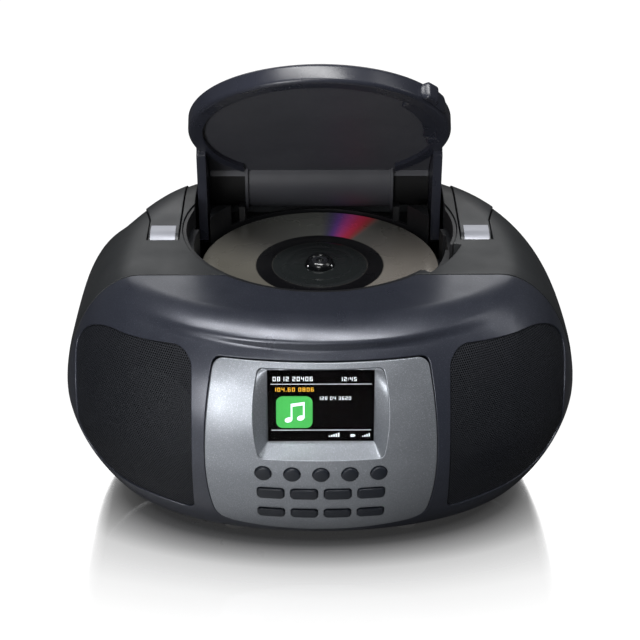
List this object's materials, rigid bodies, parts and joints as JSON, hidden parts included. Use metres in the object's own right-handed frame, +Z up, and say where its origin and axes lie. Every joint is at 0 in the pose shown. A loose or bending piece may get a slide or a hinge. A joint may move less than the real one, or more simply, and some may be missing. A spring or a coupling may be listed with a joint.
{
  "type": "portable cd radio",
  "caption": "Portable CD radio: bulging cabinet, grilles either side of a silver panel with display and keys, flip-up disc lid, U handle and telescopic aerial.",
  "frame": {"origin": "bottom centre of the bounding box, on the floor under the cabinet", "axes": "+X to the right as seen from the front, +Y to the back, +Z up; the front faces -Y"},
  "size_m": [0.25, 0.2318, 0.2225],
  "materials": {
    "front_fascia": "satin moulded plastic with a faint metallic fleck",
    "top_cover": "fine moulded grain",
    "rear_cabinet": "fine moulded grain",
    "left_grille": "perforated sheet, satin black",
    "right_grille": "perforated sheet, satin black",
    "control_panel": "silver satin lacquer",
    "display_lens": "clear cover over a lit black screen",
    "display_module": "plain",
    "key_board": "circuit board",
    "key_switches": "plain",
    "cd_tray": "fine moulded grain",
    "cd_chassis": "plain",
    "chassis_dampers": "soft rubber",
    "spindle_motor": "plated",
    "turntable": "polished black",
    "disc": "mirror-like pressed disc with a printed face",
    "laser_sled": "plain",
    "laser_lens": "clear, coated",
    "sled_rails": "ground",
    "sled_screw": "ground",
    "sled_motor": "plated",
    "lid_shell": "satin moulded plastic",
    "lid_liner": "fine moulded grain",
    "lid_grip": "satin moulded plastic",
    "lid_pins": "ground",
    "lid_springs": "spring wire",
    "handle": "satin moulded plastic",
    "handle_inserts": "satin silver",
    "handle_pivots": "ground",
    "speaker_baffles": "plain",
    "left_speaker": "plated basket and magnet",
    "right_speaker": "plated basket and magnet",
    "speaker_cones": "pressed pulp",
    "battery_box": "plain",
    "battery_contacts": "nickel plated",
    "battery_cover": "fine moulded grain",
    "main_board": "circuit board",
    "board_parts": "components",
    "rear_sockets": "plain",
    "rubber_feet": "soft rubber",
    "case_screws": "blackened",
    "aerial_base": "plated",
    "aerial_arm": "polished tube",
    "aerial_section_1": "polished tube",
    "aerial_section_2": "polished tube",
    "aerial_section_3": "polished rod with a knob",
    "round_key_1": "satin dark grey",
    "round_key_2": "satin dark grey",
    "round_key_3": "satin dark grey",
    "round_key_4": "satin dark grey",
    "round_key_5": "satin dark grey",
    "bar_key_1": "satin dark grey",
    "bar_key_2": "satin dark grey",
    "bar_key_3": "satin dark grey",
    "bar_key_4": "satin dark grey",
    "bar_key_5": "satin dark grey",
    "bar_key_6": "satin dark grey",
    "bar_key_7": "satin dark grey",
    "bar_key_8": "satin dark grey"
  },
  "bodies": {
    "case": {"front_fascia": "front_fascia", "top_cover": "top_cover", "rear_cabinet": "rear_cabinet", "left_grille": "left_grille", "right_grille": "right_grille", "control_panel": "control_panel", "display_lens": "display_lens", "display_module": "display_module", "key_board": "key_board", "key_switches": "key_switches", "cd_tray": "cd_tray", "cd_chassis": "cd_chassis", "chassis_dampers": "chassis_dampers", "spindle_motor": "spindle_motor", "sled_rails": "sled_rails", "sled_motor": "sled_motor", "speaker_baffles": "speaker_baffles", "left_speaker": "left_speaker", "right_speaker": "right_speaker", "speaker_cones": "speaker_cones", "battery_box": "battery_box", "battery_contacts": "battery_contacts", "main_board": "main_board", "board_parts": "board_parts", "rear_sockets": "rear_sockets", "rubber_feet": "rubber_feet", "case_screws": "case_screws"},
    "lid": {"lid_shell": "lid_shell", "lid_liner": "lid_liner", "lid_grip": "lid_grip", "lid_pins": "lid_pins", "lid_springs": "lid_springs"},
    "carry_handle": {"handle": "handle", "handle_inserts": "handle_inserts", "handle_pivots": "handle_pivots"},
    "spinner": {"turntable": "turntable", "disc": "disc"},
    "sled": {"laser_sled": "laser_sled", "laser_lens": "laser_lens"},
    "feed_screw": {"sled_screw": "sled_screw"},
    "battery_door": {"battery_cover": "battery_cover"},
    "aerial_swivel": {"aerial_base": "aerial_base"},
    "aerial_lower": {"aerial_arm": "aerial_arm"},
    "aerial_first": {"aerial_section_1": "aerial_section_1"},
    "aerial_second": {"aerial_section_2": "aerial_section_2"},
    "aerial_third": {"aerial_section_3": "aerial_section_3"},
    "round_key_1_body": {"round_key_1": "round_key_1"},
    "round_key_2_body": {"round_key_2": "round_key_2"},
    "round_key_3_body": {"round_key_3": "round_key_3"},
    "round_key_4_body": {"round_key_4": "round_key_4"},
    "round_key_5_body": {"round_key_5": "round_key_5"},
    "bar_key_1_body": {"bar_key_1": "bar_key_1"},
    "bar_key_2_body": {"bar_key_2": "bar_key_2"},
    "bar_key_3_body": {"bar_key_3": "bar_key_3"},
    "bar_key_4_body": {"bar_key_4": "bar_key_4"},
    "bar_key_5_body": {"bar_key_5": "bar_key_5"},
    "bar_key_6_body": {"bar_key_6": "bar_key_6"},
    "bar_key_7_body": {"bar_key_7": "bar_key_7"},
    "bar_key_8_body": {"bar_key_8": "bar_key_8"}
  },
  "joints": [
    {"name": "lid_hinge", "type": "hinge", "parent": "case", "child": "lid", "pos_m": [0, 0.077, 0.124], "axis": [-1, 0, 0], "range_deg": [-46, 0], "stiffness_Nm_per_rad": 0.05, "springref_deg": 68.75},
    {"name": "handle_hinge", "type": "hinge", "parent": "case", "child": "carry_handle", "pos_m": [0, 0.0025, 0.1206], "axis": [1, 0, 0], "range_deg": [0, 80]},
    {"name": "turntable_spin", "type": "hinge", "parent": "case", "child": "spinner", "pos_m": [0, 0.009, 0.1054], "axis": [0, 0, 1], "continuous": true},
    {"name": "sled_slide", "type": "slide", "parent": "case", "child": "sled", "axis": [1, 0, 0], "range_m": [0, 0.034]},
    {"name": "feed_screw_turn", "type": "hinge", "parent": "case", "child": "feed_screw", "pos_m": [0.04, 0.029, 0.0945], "axis": [1, 0, 0], "range_deg": [0, 6122]},
    {"name": "battery_door_hinge", "type": "hinge", "parent": "case", "child": "battery_door", "pos_m": [0, 0.00315, 0.00365], "axis": [-1, 0, 0], "range_deg": [0, 60]},
    {"name": "aerial_turn", "type": "hinge", "parent": "case", "child": "aerial_swivel", "pos_m": [0.04, 0.1054, 0.09], "axis": [0, 0, -1], "range_deg": [0, 180]},
    {"name": "aerial_elbow", "type": "hinge", "parent": "aerial_swivel", "child": "aerial_lower", "pos_m": [0.04, 0.1054, 0.0935], "axis": [0, 1, 0], "range_deg": [0, 90]},
    {"name": "aerial_slide_1", "type": "slide", "parent": "aerial_lower", "child": "aerial_first", "axis": [-1, 0, 0], "range_m": [0, 0.078]},
    {"name": "aerial_slide_2", "type": "slide", "parent": "aerial_first", "child": "aerial_second", "axis": [-1, 0, 0], "range_m": [0, 0.078]},
    {"name": "aerial_slide_3", "type": "slide", "parent": "aerial_second", "child": "aerial_third", "axis": [-1, 0, 0], "range_m": [0, 0.078]},
    {"name": "round_key_1_press", "type": "slide", "parent": "case", "child": "round_key_1_body", "axis": [0, 1, 0], "range_m": [0, 0.001], "stiffness_N_per_m": 500},
    {"name": "round_key_2_press", "type": "slide", "parent": "case", "child": "round_key_2_body", "axis": [0, 1, 0], "range_m": [0, 0.001], "stiffness_N_per_m": 500},
    {"name": "round_key_3_press", "type": "slide", "parent": "case", "child": "round_key_3_body", "axis": [0, 1, 0], "range_m": [0, 0.001], "stiffness_N_per_m": 500},
    {"name": "round_key_4_press", "type": "slide", "parent": "case", "child": "round_key_4_body", "axis": [0, 1, 0], "range_m": [0, 0.001], "stiffness_N_per_m": 500},
    {"name": "round_key_5_press", "type": "slide", "parent": "case", "child": "round_key_5_body", "axis": [0, 1, 0], "range_m": [0, 0.001], "stiffness_N_per_m": 500},
    {"name": "bar_key_1_press", "type": "slide", "parent": "case", "child": "bar_key_1_body", "axis": [0, 1, 0], "range_m": [0, 0.001], "stiffness_N_per_m": 500},
    {"name": "bar_key_2_press", "type": "slide", "parent": "case", "child": "bar_key_2_body", "axis": [0, 1, 0], "range_m": [0, 0.001], "stiffness_N_per_m": 500},
    {"name": "bar_key_3_press", "type": "slide", "parent": "case", "child": "bar_key_3_body", "axis": [0, 1, 0], "range_m": [0, 0.001], "stiffness_N_per_m": 500},
    {"name": "bar_key_4_press", "type": "slide", "parent": "case", "child": "bar_key_4_body", "axis": [0, 1, 0], "range_m": [0, 0.001], "stiffness_N_per_m": 500},
    {"name": "bar_key_5_press", "type": "slide", "parent": "case", "child": "bar_key_5_body", "axis": [0, 1, 0], "range_m": [0, 0.001], "stiffness_N_per_m": 500},
    {"name": "bar_key_6_press", "type": "slide", "parent": "case", "child": "bar_key_6_body", "axis": [0, 1, 0], "range_m": [0, 0.001], "stiffness_N_per_m": 500},
    {"name": "bar_key_7_press", "type": "slide", "parent": "case", "child": "bar_key_7_body", "axis": [0, 1, 0], "range_m": [0, 0.001], "stiffness_N_per_m": 500},
    {"name": "bar_key_8_press", "type": "slide", "parent": "case", "child": "bar_key_8_body", "axis": [0, 1, 0], "range_m": [0, 0.001], "stiffness_N_per_m": 500}
  ],
  "couplings": [
    {"joint": "feed_screw_turn", "follows": "sled_slide", "rad_per_m": 3141.6}
  ]
}
